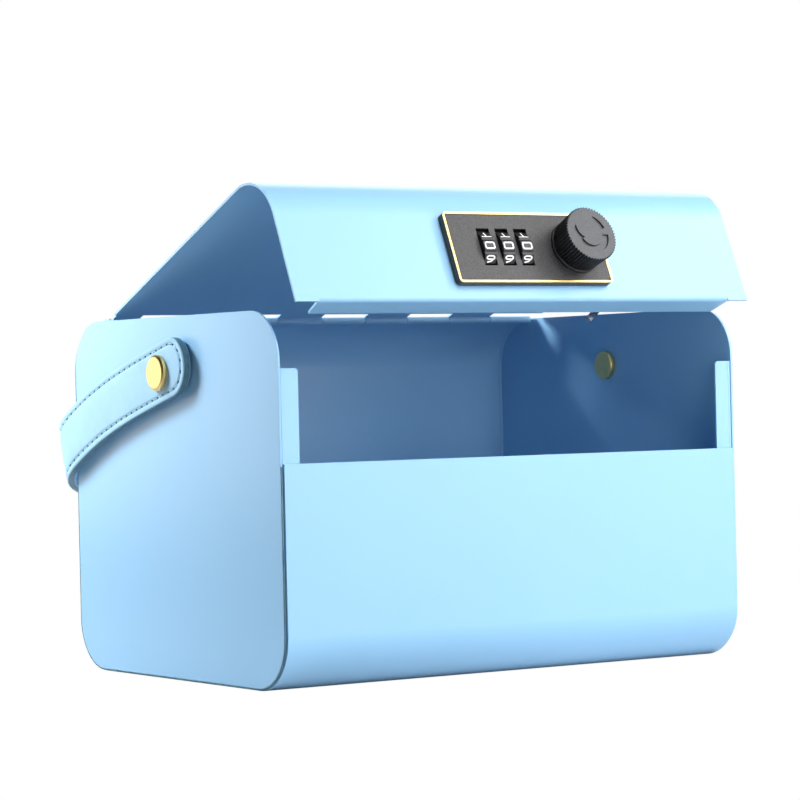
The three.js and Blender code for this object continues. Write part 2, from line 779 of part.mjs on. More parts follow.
function pivotRivet(side) {
  const top = rivetFrom + rivetHeadHeight;
  return turnedAlongX([
    [nutTo - pivotNutHeight + pivotNutFloor + clearance, 0],
    [nutTo - pivotNutHeight + pivotNutFloor + clearance, rivetShankRadius],
    [rivetFrom, rivetShankRadius],
    [rivetFrom, rivetHeadRadius],
    [top - rivetBevel, rivetHeadRadius],
    [top, rivetHeadRadius - rivetBevel],
    [top, 0],
  ], side, pivotBehindMiddle, pivotHeight);
}

function pivotWasher(side) {
  const hole = rivetShankRadius + runningGap;
  return turnedAlongX([
    [washerFrom, hole], [washerFrom, washerRadius],
    [washerFrom + washerThickness, washerRadius], [washerFrom + washerThickness, hole],
    [washerFrom, hole],
  ], side, pivotBehindMiddle, pivotHeight);
}

function pivotNut(side) {
  const hole = rivetShankRadius + runningGap;
  return turnedAlongX([
    [nutTo - pivotNutHeight, 0],
    [nutTo - pivotNutHeight, pivotNutRadius - pivotNutBevel],
    [nutTo - pivotNutHeight + pivotNutBevel, pivotNutRadius],
    [nutTo, pivotNutRadius],
    [nutTo, hole],
    [nutTo - pivotNutHeight + pivotNutFloor, hole],
    [nutTo - pivotNutHeight + pivotNutFloor, 0],
  ], side, pivotBehindMiddle, pivotHeight);
}

// The strap: its middle line leaves the pivot, droops more and more along the side, bends
// round behind the case and crosses to the other side. Each station is a place on that line,
// the way across the strap's width, the way through its thickness and half of its width there.
function strapStations() {
  const stations = [];
  const add = (at, along, tilt, halfWidth) => {
    const width = new THREE.Vector3(0, Math.sin(tilt), Math.cos(tilt));
    const through = width.clone().cross(along).normalize();
    stations.push({ at: at.clone(), width, through, halfWidth });
  };
  const place = new THREE.Vector3(-strapFrom - strapThickness / 2, pivotBehindMiddle, pivotHeight);
  const tipWay = forward(strapSlopeAtPivot);
  for (let step = 0; step < strapTipSteps; step += 1) {
    const angle = (Math.PI / 2) * ((step + 0.5) / strapTipSteps);
    const back = strapTail - strapTipRadius * (1 - Math.cos(angle));
    const taken = strapTipRadius * (1 - Math.sin(angle));
    add(place.clone().addScaledVector(tipWay, -back), tipWay, strapTiltAtPivot,
      strapWidth / 2 - taken);
  }
  const stride = strapArm / strapArmSteps;
  for (let step = 0; step <= strapArmSteps; step += 1) {
    const share = step / strapArmSteps;
    const tilt = THREE.MathUtils.lerp(strapTiltAtPivot, strapTiltAtBend, share);
    add(place, forward(strapSlopeAt(share)), tilt, strapWidth / 2);
    if (step < strapArmSteps) {
      place.addScaledVector(forward(strapSlopeAt((step + 0.5) / strapArmSteps)), stride);
    }
  }
  const way = forward(strapSlopeAtBend);
  for (let step = 1; step <= strapBendSteps; step += 1) {
    const turn = ((Math.PI / 2) * step) / strapBendSteps;
    const at = place.clone().addScaledVector(way, strapBendRadius * Math.sin(turn));
    at.x += strapBendRadius * (1 - Math.cos(turn));
    const along = way.clone().multiplyScalar(Math.cos(turn));
    along.x = Math.sin(turn);
    add(at, along, strapTiltAtBend, strapWidth / 2);
  }
  return stations;
}

function strapSlopeAt(share) {
  return THREE.MathUtils.lerp(strapSlopeAtPivot, strapSlopeAtBend, share * share);
}

function forward(slope) {
  return new THREE.Vector3(0, Math.cos(slope), -Math.sin(slope));
}

// The section of the strap at a station: a flat oblong with its long edges taken off
function strapRing(station, mirror) {
  const halfThick = strapThickness / 2;
  const flat = station.halfWidth - strapEdgeRound;
  const section = [
    [flat, halfThick], [station.halfWidth, halfThick - strapEdgeRound],
    [station.halfWidth, strapEdgeRound - halfThick], [flat, -halfThick],
    [-flat, -halfThick], [-station.halfWidth, strapEdgeRound - halfThick],
    [-station.halfWidth, halfThick - strapEdgeRound], [-flat, halfThick],
  ];
  return section.map(([across, through]) => {
    const point = station.at.clone()
      .addScaledVector(station.width, across)
      .addScaledVector(station.through, through);
    return mirror ? new THREE.Vector3(-point.x, point.y, point.z) : point;
  });
}

function handleStrap() {
  const stations = strapStations();
  const mirrored = stations.map((station) => strapRing(station, true)).reverse();
  const rings = [...stations.map((station) => strapRing(station, false)), ...mirrored];
  return loft(rings).subtract(strapHoles());
}

function strapHoles() {
  const reach = halfLength + strapWidth;
  return rodAlongX(
    rivetShankRadius + runningGap, -reach, reach, pivotBehindMiddle, pivotHeight, smallRoundSides);
}

// A closed solid through rings that all have the same number of points
function loft(rings) {
  const count = rings[0].length;
  const positions = rings.flat().flatMap((point) => [point.x, point.y, point.z]);
  const index = [];
  for (let ring = 0; ring + 1 < rings.length; ring += 1) {
    for (let corner = 0; corner < count; corner += 1) {
      const next = (corner + 1) % count;
      const a = ring * count + corner;
      const b = ring * count + next;
      index.push(a, a + count, b, b, a + count, b + count);
    }
  }
  const last = (rings.length - 1) * count;
  for (let corner = 1; corner + 1 < count; corner += 1) {
    index.push(0, corner, corner + 1, last, last + corner + 1, last + corner);
  }
  const geometry = new THREE.BufferGeometry();
  geometry.setAttribute("position", new THREE.Float32BufferAttribute(positions, 3));
  geometry.setIndex(index);
  return outward(geometry);
}

// The box, put together
const medicationBox = new THREE.Group();
medicationBox.add(piece("case_wrap", caseWrap(), materials.paint));
[["left", -1], ["right", 1]].forEach(([word, side]) => {
  medicationBox.add(piece(`${word}_side_panel`, sidePanel(side), materials.paint));
  medicationBox.add(piece(`${word}_end_frame`, endFrame(side), materials.paint));
  medicationBox.add(piece(`${word}_pivot_rivet`, pivotRivet(side), materials.gold));
  medicationBox.add(piece(`${word}_pivot_washer`, pivotWasher(side), materials.steel));
  medicationBox.add(piece(`${word}_pivot_nut`, pivotNut(side), materials.gold));
});
medicationBox.add(piece("lock_keeper", lockKeeper(), materials.steel));
medicationBox.add(piece(
  "hinge_case_leaf", hingeLeaf(1, caseLeafToAxis, caseLeafWidth, 0), materials.paint));
medicationBox.add(piece("hinge_pin", hingePin(), materials.steel));
medicationBox.add(piece("handle_strap", handleStrap(), materials.leather));

// The lid is drawn shut and then turned open about the hinge
const lid = new THREE.Group();
lid.position.set(0, hingeBehindMiddle, hingeHeight);
lid.rotation.x = -lidOpenAngle;
const lidPieces = new THREE.Group();
lidPieces.position.set(0, -hingeBehindMiddle, -hingeHeight);
lidPieces.add(piece("lid_shell", lidShell(), materials.paint));
lidPieces.add(piece(
  "hinge_lid_leaf", hingeLeaf(-1, lidLeafToAxis, lidLeafWidth, 1), materials.paint));
lidPieces.add(piece("lock_body", lockBody(), materials.black));
lidPieces.add(piece("lock_border", lockBorder(), materials.gold));
lidPieces.add(piece("lock_rear_cover", rearCover(), materials.black));
screwPlaces().forEach((place, index) => {
  lidPieces.add(piece(`cover_screw_${index + 1}`, coverScrew(place), materials.steel));
});
lidPieces.add(piece("dial_axle", dialAxle(), materials.steel));
lidPieces.add(piece("detent_spring", detentSpring(), materials.steel));
lidPieces.add(piece("sleeve_nut", sleeveNut(), materials.steel));
dialCentres().forEach((x, index) => {
  lidPieces.add(piece(`dial_wheel_${index + 1}`, dialWheel(x), materials.black));
});
lidPieces.add(piece("lock_knob", lockKnob(), materials.black));
lidPieces.add(piece("knob_spindle", knobSpindle(), materials.steel));
lidPieces.add(piece("lock_hook", lockHook(), materials.steel));
lidPieces.add(piece("hook_screw", camScrew(), materials.steel));
lid.add(lidPieces);
medicationBox.add(lid);

export default medicationBox;
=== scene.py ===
import json
import math

import bpy
from mathutils import Matrix, Vector


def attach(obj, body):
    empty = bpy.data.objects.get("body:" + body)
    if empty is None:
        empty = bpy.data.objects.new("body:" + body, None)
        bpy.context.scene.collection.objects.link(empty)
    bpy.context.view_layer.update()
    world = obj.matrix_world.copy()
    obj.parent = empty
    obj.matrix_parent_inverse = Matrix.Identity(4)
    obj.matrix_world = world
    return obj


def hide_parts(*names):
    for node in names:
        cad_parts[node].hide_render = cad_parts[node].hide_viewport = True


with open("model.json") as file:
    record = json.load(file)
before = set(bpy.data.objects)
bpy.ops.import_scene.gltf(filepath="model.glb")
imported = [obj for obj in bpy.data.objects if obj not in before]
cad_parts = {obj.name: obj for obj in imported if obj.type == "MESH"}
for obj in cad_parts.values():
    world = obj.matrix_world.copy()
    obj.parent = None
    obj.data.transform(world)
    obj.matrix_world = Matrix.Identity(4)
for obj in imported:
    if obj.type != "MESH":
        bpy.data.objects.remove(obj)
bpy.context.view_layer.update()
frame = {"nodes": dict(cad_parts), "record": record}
nodes = frame["nodes"]

MM = 0.001
HALF_TURN = math.pi
QUARTER_TURN = math.pi / 2
FULL_TURN = 2 * math.pi

# Sizes of the model that the new pieces follow
case_half_depth = 91.3 * MM
case_height = 158.5 * MM
case_corner_radius = 23 * MM
hinge_y = 61 * MM
hinge_z = 157.9 * MM
lid_open_angle = math.radians(23.5)
lock_z = 118.7 * MM
lock_front_y = -95.3 * MM
knob_x = 27 * MM
dial_axis_y = -88.3 * MM
dial_radius = 9.7 * MM
dial_xs = [-19.5 * MM, -9.75 * MM, 0.0]
dial_rest_turn = math.radians(3)
pivot_y = 2 * MM
pivot_z = 134 * MM

# The lid is drawn shut and then opened about its hinge, as the model does it
to_open = (
    Matrix.Translation((0, hinge_y, hinge_z))
    @ Matrix.Rotation(-lid_open_angle, 4, "X")
    @ Matrix.Translation((0, -hinge_y, -hinge_z))
)


def new_object(name, verts, faces, slots=(), face_slots=None, smooth=True):
    """A mesh object with its materials; face_slots gives each face its slot."""
    mesh = bpy.data.meshes.new(name)
    mesh.from_pydata([tuple(v) for v in verts], [], faces)
    for material in slots:
        mesh.materials.append(material)
    for index, polygon in enumerate(mesh.polygons):
        polygon.use_smooth = smooth
        if face_slots:
            polygon.material_index = face_slots[index]
    mesh.validate()
    mesh.update()
    item = bpy.data.objects.new(name, mesh)
    bpy.context.scene.collection.objects.link(item)
    return item


# Materials
class Surface:
    """A Principled material and a short way to add nodes to it."""

    def __init__(self, name, color, roughness, metallic=0.0, **inputs):
        self.material = bpy.data.materials.new(name)
        self.material.use_nodes = True
        self.tree = self.material.node_tree
        self.shader = self.tree.nodes["Principled BSDF"]
        self.shader.inputs["Base Color"].default_value = (*color, 1)
        self.shader.inputs["Roughness"].default_value = roughness
        self.shader.inputs["Metallic"].default_value = metallic
        for key, value in inputs.items():
            self.shader.inputs[key.replace("_", " ")].default_value = value
        self.place = self.add("ShaderNodeTexCoord").outputs["Object"]

    def add(self, kind, **settings):
        node = self.tree.nodes.new(kind)
        for key, value in settings.items():
            setattr(node, key, value)
        return node

    def link(self, source, target):
        self.tree.links.new(source, target)

    def noise(self, scale, detail=2.0, roughness=0.5, stretch=None):
        node = self.add("ShaderNodeTexNoise")
        node.inputs["Scale"].default_value = scale
        node.inputs["Detail"].default_value = detail
        node.inputs["Roughness"].default_value = roughness
        place = self.place
        if stretch:
            mapping = self.add("ShaderNodeMapping")
            mapping.inputs["Scale"].default_value = stretch
            self.link(place, mapping.inputs["Vector"])
            place = mapping.outputs["Vector"]
        self.link(place, node.inputs["Vector"])
        return node.outputs["Fac"]

    def cells(self, scale):
        node = self.add("ShaderNodeTexVoronoi")
        node.inputs["Scale"].default_value = scale
        self.link(self.place, node.inputs["Vector"])
        return node.outputs["Distance"]

    def ramp(self, factor, low, high, from_low=0.3, from_high=0.7):
        node = self.add("ShaderNodeMapRange")
        node.inputs["From Min"].default_value = from_low
        node.inputs["From Max"].default_value = from_high
        node.inputs["To Min"].default_value = low
        node.inputs["To Max"].default_value = high
        self.link(factor, node.inputs["Value"])
        return node.outputs["Result"]

    def colors(self, factor, low, high, from_low=0.3, from_high=0.7):
        node = self.add("ShaderNodeValToRGB")
        node.color_ramp.elements[0].position = from_low
        node.color_ramp.elements[0].color = (*low, 1)
        node.color_ramp.elements[1].position = from_high
        node.color_ramp.elements[1].color = (*high, 1)
        self.link(factor, node.inputs["Fac"])
        self.link(node.outputs["Color"], self.shader.inputs["Base Color"])
        return node.outputs["Color"]

    def rough(self, factor, low, high):
        self.link(self.ramp(factor, low, high), self.shader.inputs["Roughness"])

    def bump(self, *layers):
        """Each layer is a height, its strength and its depth in metres."""
        normal = None
        for height, strength, depth in layers:
            node = self.add("ShaderNodeBump")
            node.inputs["Strength"].default_value = strength
            node.inputs["Distance"].default_value = depth
            self.link(height, node.inputs["Height"])
            if normal:
                self.link(normal, node.inputs["Normal"])
            normal = node.outputs["Normal"]
        self.link(normal, self.shader.inputs["Normal"])


def shade(color, factor):
    return tuple(channel * factor for channel in color)


def make_paint():
    blue = (0.278, 0.528, 0.78)
    surface = Surface("sky_blue_paint", blue, 0.3)
    cloud = surface.noise(9, detail=2)
    surface.colors(cloud, shade(blue, 0.985), shade(blue, 1.01), 0.2, 0.8)
    surface.rough(surface.noise(24, detail=2), 0.315, 0.335)
    peel = surface.noise(900, detail=1)
    grit = surface.noise(5200, detail=1)
    surface.bump((peel, 0.08, 0.03 * MM), (grit, 0.05, 0.015 * MM))
    return surface.material


def make_leather():
    pale = (0.315, 0.57, 0.78)
    surface = Surface("pale_blue_leather", pale, 0.5, Sheen_Weight=0.08, Sheen_Roughness=0.5)
    surface.colors(surface.noise(70, detail=5), shade(pale, 0.94), shade(pale, 1.03))
    surface.rough(surface.noise(240, detail=3), 0.42, 0.56)
    pebble = surface.cells(1100)
    pore = surface.noise(2600, detail=2)
    crease = surface.noise(160, detail=4, stretch=(1, 0.5, 1.6))
    surface.bump((pebble, 0.25, 0.1 * MM), (pore, 0.12, 0.05 * MM), (crease, 0.1, 0.15 * MM))
    return surface.material


def make_strap_edge():
    teal = (0.09, 0.2, 0.26)
    surface = Surface("strap_edge_paint", teal, 0.42)
    surface.colors(surface.noise(400, detail=4), shade(teal, 0.8), shade(teal, 1.15))
    fibre = surface.noise(700, detail=3, stretch=(1, 0.25, 0.25))
    surface.bump((fibre, 0.3, 0.12 * MM))
    return surface.material


def make_thread():
    pale = (0.42, 0.7, 0.86)
    surface = Surface("pale_thread", pale, 0.6, Sheen_Weight=0.3)
    surface.colors(surface.noise(900), shade(pale, 0.85), shade(pale, 1.05))
    surface.bump((surface.noise(2200, detail=1), 0.4, 0.1 * MM))
    return surface.material


# Painted shade: the dark colour of the stitch holes, laid on the leather in place of real pits
def make_hole_shadow():
    dark = (0.022, 0.06, 0.075)
    surface = Surface("stitch_hole_painted_shade", dark, 0.8)
    surface.colors(surface.noise(1500), shade(dark, 0.7), shade(dark, 1.3))
    return surface.material


def make_gold():
    gilt = (0.88, 0.66, 0.27)
    surface = Surface("gilt_metal", gilt, 0.24, metallic=1.0)
    surface.colors(surface.noise(300, detail=3), shade(gilt, 0.96), shade(gilt, 1.04))
    surface.rough(surface.noise(800, detail=3), 0.36, 0.42)
    surface.bump((surface.noise(3000, detail=1), 0.02, 0.01 * MM))
    return surface.material


def make_black():
    ink = (0.031, 0.03, 0.032)
    surface = Surface("grained_black_plastic", ink, 0.42)
    fleck = surface.noise(2100, detail=3, roughness=0.65)
    surface.colors(fleck, shade(ink, 0.45), shade(ink, 2.0), 0.36, 0.66)
    surface.rough(surface.noise(1400, detail=2), 0.36, 0.52)
    surface.bump((fleck, 0.5, 0.12 * MM), (surface.noise(900, detail=2), 0.12, 0.08 * MM))
    return surface.material


def make_dial_black():
    ink = (0.012, 0.012, 0.014)
    surface = Surface("smooth_black_plastic", ink, 0.3)
    surface.colors(surface.noise(1500, detail=2), shade(ink, 0.8), shade(ink, 1.3))
    surface.rough(surface.noise(700, detail=3), 0.25, 0.4)
    surface.bump((surface.noise(2400, detail=1), 0.08, 0.03 * MM))
    return surface.material


def make_knob_black(name, ink):
    surface = Surface(name, ink, 0.4)
    surface.colors(surface.noise(2600, detail=2), shade(ink, 0.7), shade(ink, 1.45))
    surface.rough(surface.noise(900, detail=3), 0.34, 0.48)
    surface.bump((surface.noise(2600, detail=2), 0.2, 0.05 * MM))
    return surface.material


def make_white_print():
    white = (0.86, 0.86, 0.85)
    surface = Surface("white_print", white, 0.5)
    surface.colors(surface.noise(1800), shade(white, 0.93), shade(white, 1.0))
    return surface.material


# Painted shadow: a dark teal colour laid on the joint of side panel and wrap, standing for the
# shadow gap there
def make_seam_shadow():
    teal = (0.065, 0.15, 0.18)
    surface = Surface("painted_seam_shadow", teal, 0.6)
    surface.colors(surface.noise(160, detail=3), shade(teal, 0.7), shade(teal, 1.5))
    surface.bump((surface.noise(1200, detail=2), 0.3, 0.1 * MM))
    return surface.material


def make_steel():
    grey = (0.56, 0.57, 0.59)
    surface = Surface("zinc_plated_steel", grey, 0.32, metallic=1.0)
    surface.colors(surface.noise(500, detail=4), shade(grey, 0.85), shade(grey, 1.1))
    surface.rough(surface.noise(350, detail=3), 0.24, 0.42)
    surface.bump((surface.noise(1300, detail=3, stretch=(6, 1, 1)), 0.15, 0.03 * MM))
    return surface.material


paint = make_paint()
leather = make_leather()
strap_edge = make_strap_edge()
thread = make_thread()
hole_shade = make_hole_shadow()
gold = make_gold()
black = make_black()
dial_black = make_dial_black()
# The knob is one plastic: a darker copy on its sides is painted shade, a lighter copy on its face
# is painted light
knob_side_shade = make_knob_black("knob_plastic_painted_shade", (0.016, 0.017, 0.02))
knob_face_light = make_knob_black("knob_plastic_painted_light", (0.045, 0.047, 0.053))
white_print = make_white_print()
seam_shadow_paint = make_seam_shadow()
steel = make_steel()

node_materials = {"paint": paint, "gold": gold, "steel": steel, "lock_black": black,
                  "strap_leather": leather}
for row in frame["record"]["subparts"]:
    item = nodes[row["node"]]
    material = node_materials[row["material_slot"]]
    if row["node"].startswith("dial_wheel"):
        material = dial_black
    item.data.materials.clear()
    item.data.materials.append(material)


# CAD nodes keep their meshes; modifiers break their edges and shade their curves smooth
weld_distance = 0.002 * MM
flat_face_angle = math.radians(0.4)
bevel_segments = 2
bevel_angle = math.radians(28)
normal_weight = 100


def soften(item, width, join_flats=True):
    for polygon in item.data.polygons:
        polygon.use_smooth = True
    weld = item.modifiers.new("weld", "WELD")
    weld.merge_threshold = weld_distance
    if join_flats:
        flatten = item.modifiers.new("flat_faces", "DECIMATE")
        flatten.decimate_type = "DISSOLVE"
        flatten.angle_limit = flat_face_angle
    bevel = item.modifiers.new("broken_edges", "BEVEL")
    bevel.width = width
    bevel.segments = bevel_segments
    bevel.limit_method = "ANGLE"
    bevel.angle_limit = bevel_angle
    bevel.use_clamp_overlap = True
    bevel.miter_outer = "MITER_ARC"
    normals = item.modifiers.new("even_shading", "WEIGHTED_NORMAL")
    normals.mode = "FACE_AREA"
    normals.weight = normal_weight
    normals.keep_sharp = False


# Widths of the broken edges in millimetres
edge_widths = {
    "case_wrap": 0.18, "left_side_panel": 0.22, "right_side_panel": 0.22, "lid_shell": 0.18,
    "left_end_frame": 0.15, "right_end_frame": 0.15, "lock_body": 0.25, "lock_border": 0.12,
    "hinge_case_leaf": 0.12, "hinge_lid_leaf": 0.12, "left_pivot_rivet": 0.25,
    "right_pivot_rivet": 0.25, "left_pivot_nut": 0.25, "right_pivot_nut": 0.25,
    "dial_wheel_1": 0.12, "dial_wheel_2": 0.12, "dial_wheel_3": 0.12,
}
# Joining the flat faces of lock_body would close a window of the dials
for name, width in edge_widths.items():
    soften(nodes[name], width * MM, join_flats=name != "lock_body")


# The strap. Its middle line is the model's: it leaves the pivot, droops along the side, bends
# round behind the case and crosses to the other side.
strap_half_width = 12.75 * MM
strap_thickness = 4.3 * MM
strap_outer_x = 125.2 * MM
strap_tail = 22 * MM
strap_arm = 92.5 * MM
strap_bend_radius = 28.8 * MM
strap_tip_radius = 12.5 * MM
strap_slopes = (math.radians(14), math.radians(28.7))
strap_tilts = (math.radians(12.4), math.radians(15.9))
stitch_inset = 2.7 * MM
stitch_pitch = 5.05 * MM


def forward(slope):
    return Vector((0, math.cos(slope), -math.sin(slope)))


def mix(pair, share):
    return pair[0] + (pair[1] - pair[0]) * share


class StrapLine:
    """Places along half of the strap, from its left tip to the middle behind the case."""

    def __init__(self):
        self.rows = []
        pivot = Vector((-strap_outer_x + strap_thickness / 2, pivot_y, pivot_z))
        way = forward(strap_slopes[0])
        steps = 40
        for step in range(steps):
            back = strap_tail * (1 - step / steps)
            self.add(pivot - way * back, way, strap_tilts[0], -back)
        place = pivot.copy()
        steps = 120
        stride = strap_arm / steps
        for step in range(steps + 1):
            share = step / steps
            slope = mix(strap_slopes, share * share)
            self.add(place, forward(slope), mix(strap_tilts, share), stride * step)
            half = (step + 0.5) / steps
            if step < steps:
                place = place + forward(mix(strap_slopes, half * half)) * stride
        way = forward(strap_slopes[1])
        steps = 60
        for step in range(1, steps + 1):
            turn = QUARTER_TURN * step / steps
            at = place + way * (strap_bend_radius * math.sin(turn))
            at.x += strap_bend_radius * (1 - math.cos(turn))
            along = way * math.cos(turn)
            along.x = math.sin(turn)
            self.add(at, along, strap_tilts[1], strap_arm + strap_bend_radius * turn)
        end = self.rows[-1][1]
        steps = 40
        start = strap_arm + strap_bend_radius * QUARTER_TURN
        for step in range(1, steps + 1):
            share = step / steps
            at = Vector((end.x * (1 - share), end.y, end.z))
            self.add(at, Vector((1, 0, 0)), strap_tilts[1], start - end.x * share)
        self.half = self.rows[-1][0]

    def add(self, at, along, tilt, length):
        width = Vector((0, math.sin(tilt), math.cos(tilt)))
        through = width.cross(along).normalized()
        self.rows.append((length + strap_tail, Vector(at), Vector(along), width, through))

    def frame_at(self, length):
        """Place, way along, way across and way outward at a length from the left tip."""
        mirrored = length > self.half
        if mirrored:
            length = 2 * self.half - length
        low, high = 0, len(self.rows) - 1
        while high - low > 1:
            middle = (low + high) // 2
            if self.rows[middle][0] <= length:
                low = middle
            else:
                high = middle
        first, second = self.rows[low], self.rows[high]
        share = (length - first[0]) / (second[0] - first[0])
        share = min(max(share, 0), 1)
        at, along, width, through = (
            first[index].lerp(second[index], share) for index in range(1, 5))
        if mirrored:
            at = Vector((-at.x, at.y, at.z))
            along = Vector((along.x, -along.y, -along.z))
            through = Vector((-through.x, through.y, through.z))
        return at, along.normalized(), width.normalized(), through.normalized()


line = StrapLine()
strap_length = 2 * line.half
outward = -1 if line.frame_at(strap_tail)[3].x > 0 else 1


def strap_half_at(length):
    """Half of the strap's width at a length from the nearer tip."""
    near = min(length, strap_length - length)
    if near >= strap_tip_radius:
        return strap_half_width
    across = strap_tip_radius ** 2 - (strap_tip_radius - near) ** 2
    return strap_half_width - strap_tip_radius + math.sqrt(max(across, 0))


def strap_edge_distance(length, across):
    """How far a place on the strap's face is from its outline."""
    near = min(length, strap_length - length)
    flat = strap_half_width - strap_tip_radius
    if near >= strap_tip_radius:
        return strap_half_width - abs(across)
    if abs(across) <= flat:
        return near
    return strap_tip_radius - math.hypot(strap_tip_radius - near, abs(across) - flat)


def strap_height(distance):
    """Height of the face over the middle of the leather, by the distance from the edge."""
    crown = 0.3 * MM
    crown_rise = 2.2 * MM
    round_radius = 0.45 * MM
    groove = 0.38 * MM
    groove_width = 0.5 * MM
    height = strap_thickness / 2 - crown
    if distance < round_radius:
        gap = round_radius - max(distance, 0)
        height -= round_radius - math.sqrt(max(round_radius ** 2 - gap ** 2, 0))
    height -= groove * math.exp(-((distance - stitch_inset) / groove_width) ** 2)
    if distance > stitch_inset:
        height += crown * (1 - math.exp(-(distance - stitch_inset) / crown_rise))
    return height


def strap_point(length, across, height, side):
    at, _, width, through = line.frame_at(length)
    return at + width * across + through * (outward * side * height)


def build_strap():
    lengths = []
    tip_steps = 40
    for step in range(tip_steps):
        lengths.append(strap_tip_radius * (1 - math.cos(QUARTER_TURN * (step + 0.4) / tip_steps)))
    middle_steps = 330
    span = strap_length - 2 * strap_tip_radius
    for step in range(middle_steps + 1):
        lengths.append(strap_tip_radius + span * step / middle_steps)
    lengths += [strap_length - length for length in reversed(lengths[:tip_steps])]
    edge_shares = [1, 0.998, 0.994, 0.988, 0.979, 0.965]
    inner_steps = 58
    last = edge_shares[-1]
    shares = edge_shares + [last * (1 - 2 * step / inner_steps) for step in range(1, inner_steps)]
    shares += [-share for share in reversed(edge_shares)]
    verts, faces, slots = [], [], []
    ring = 2 * len(shares) + 4
    bulge, rim_share = 0.12 * MM, 0.33
    for length in lengths:
        half = strap_half_at(length)
        rim = strap_height(strap_edge_distance(length, half))
        for share in shares:
            across = half * share
            height = strap_height(strap_edge_distance(length, across))
            verts.append(strap_point(length, across, height, 1))
        for share in (rim_share, -rim_share):
            verts.append(strap_point(length, -half - bulge, rim * share, 1))
        for share in reversed(shares):
            across = half * share
            height = strap_height(strap_edge_distance(length, across))
            verts.append(strap_point(length, across, height, -1))
        for share in (-rim_share, rim_share):
            verts.append(strap_point(length, half + bulge, rim * share, 1))
    face_count = len(shares) - 1
    for row in range(len(lengths) - 1):
        for corner in range(ring):
            after = (corner + 1) % ring
            a, b = row * ring + corner, row * ring + after
            faces.append((a, a + ring, b + ring, b))
            on_face = corner < face_count or face_count + 3 <= corner < 2 * face_count + 3
            slots.append(0 if on_face else 1)
    faces.append(tuple(range(ring)))
    slots.append(1)
    end = (len(lengths) - 1) * ring
    faces.append(tuple(end + corner for corner in reversed(range(ring))))
    slots.append(1)
    strap = new_object("strap", verts, faces, (leather, strap_edge), slots)
    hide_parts("handle_strap")
    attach(strap, "handle")


build_strap()


def stitch_path(share):
    """A place on the seam, as length and across, by the share of the way round it."""
    reach = strap_tip_radius - stitch_inset
    flat = strap_half_width - strap_tip_radius
    side = flat + reach
    straight = strap_length - 2 * strap_tip_radius
    arc = QUARTER_TURN * reach
    spans = [straight, arc, 2 * flat, arc, straight, arc, 2 * flat, arc]
    way = share * sum(spans)
    left, right = strap_tip_radius, strap_length - strap_tip_radius
    if way < spans[0]:
        return left + way, side
    way -= spans[0]
    if way < spans[1]:
        turn = way / reach
        return right + reach * math.sin(turn), flat + reach * math.cos(turn)
    way -= spans[1]
    if way < spans[2]:
        return right + reach, flat - way
    way -= spans[2]
    if way < spans[3]:
        turn = way / reach
        return right + reach * math.cos(turn), -flat - reach * math.sin(turn)
    way -= spans[3]
    if way < spans[4]:
        return right - way, -side
    way -= spans[4]
    if way < spans[5]:
        turn = way / reach
        return left - reach * math.sin(turn), -flat - reach * math.cos(turn)
    way -= spans[5]
    if way < spans[6]:
        return left - reach, -flat + way
    way -= spans[6]
    turn = way / reach
    return left - reach * math.cos(turn), flat + reach * math.sin(turn)


def build_stitches():
    """Thread lies in the groove between holes, on both faces of the strap; the holes are dark ovals
    of painted shade.
    """
    reach = strap_tip_radius - stitch_inset
    total = 2 * (strap_length - 2 * strap_tip_radius) + FULL_TURN * reach
    total += 4 * (strap_half_width - strap_tip_radius)
    count = round(total / stitch_pitch)
    thread_radius = 0.36 * MM
    hole_share = 0.18
    ring_sides = 8
    ring_steps = 6
    thread_verts, thread_faces, hole_shadow_verts, hole_shadow_faces = [], [], [], []
    for side in (1, -1):
        for stitch in range(count):
            first = len(thread_verts)
            for step in range(ring_steps + 1):
                share = step / ring_steps
                along = (stitch + hole_share + (1 - 2 * hole_share) * share) / count
                length, across = stitch_path(along)
                next_length, next_across = stitch_path((along + 0.0002) % 1)
                dip = 1 - (2 * share - 1) ** 6
                height = strap_height(stitch_inset) + thread_radius * (1.1 * dip - 0.7)
                centre = strap_point(length, across, height, side)
                ahead = strap_point(next_length, next_across, height, side) - centre
                up = line.frame_at(length)[3] * (outward * side)
                sideways = ahead.cross(up).normalized()
                radius = thread_radius * (0.55 + 0.45 * dip)
                for corner in range(ring_sides):
                    turn = FULL_TURN * corner / ring_sides
                    outwards = sideways * (radius * math.cos(turn))
                    thread_verts.append(centre + outwards + up * (radius * math.sin(turn)))
            for step in range(ring_steps):
                for corner in range(ring_sides):
                    a = first + step * ring_sides + corner
                    b = first + step * ring_sides + (corner + 1) % ring_sides
                    thread_faces.append((a, b, b + ring_sides, a + ring_sides))
            thread_faces.append(tuple(first + c for c in reversed(range(ring_sides))))
            end = first + ring_steps * ring_sides
            thread_faces.append(tuple(end + c for c in range(ring_sides)))
            add_hole_shadow(hole_shadow_verts, hole_shadow_faces, stitch / count, side)
    for name, verts, faces, material in (
            ("strap_thread", thread_verts, thread_faces, thread),
            ("strap_hole_shadows", hole_shadow_verts, hole_shadow_faces, hole_shade)):
        item = new_object(name, verts, faces, (material,))
        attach(item, "handle")


